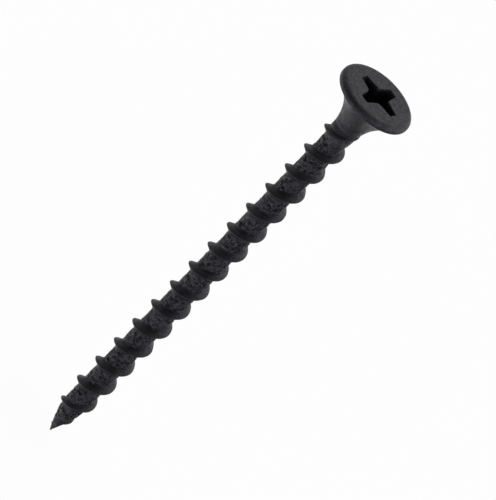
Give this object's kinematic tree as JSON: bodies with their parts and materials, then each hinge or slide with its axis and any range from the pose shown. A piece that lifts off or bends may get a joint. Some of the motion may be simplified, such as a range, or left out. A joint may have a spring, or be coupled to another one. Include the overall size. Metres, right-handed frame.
{
  "type": "wood screw",
  "caption": "Slender screw with a flared trumpet head, a cross recess and a coarse sharp thread that bites into wood as it is driven.",
  "frame": {"origin": "centre of the head's flat top face, on the screw's axis", "axes": "+Z along the screw's axis and out of the head, so the tip points along -Z"},
  "size_m": [0.0086, 0.0086, 0.055],
  "materials": {
    "head_phosphate": "black phosphated steel, matt and smooth",
    "core_phosphate": "black phosphated steel, matt, with rolling marks",
    "thread_phosphate": "black phosphated steel, matt, lighter along the rolled crest"
  },
  "bodies": {
    "root": {"bugle_head": "head_phosphate", "neck": "core_phosphate", "shank": "core_phosphate", "point": "core_phosphate", "thread": "thread_phosphate"}
  },
  "joints": []
}
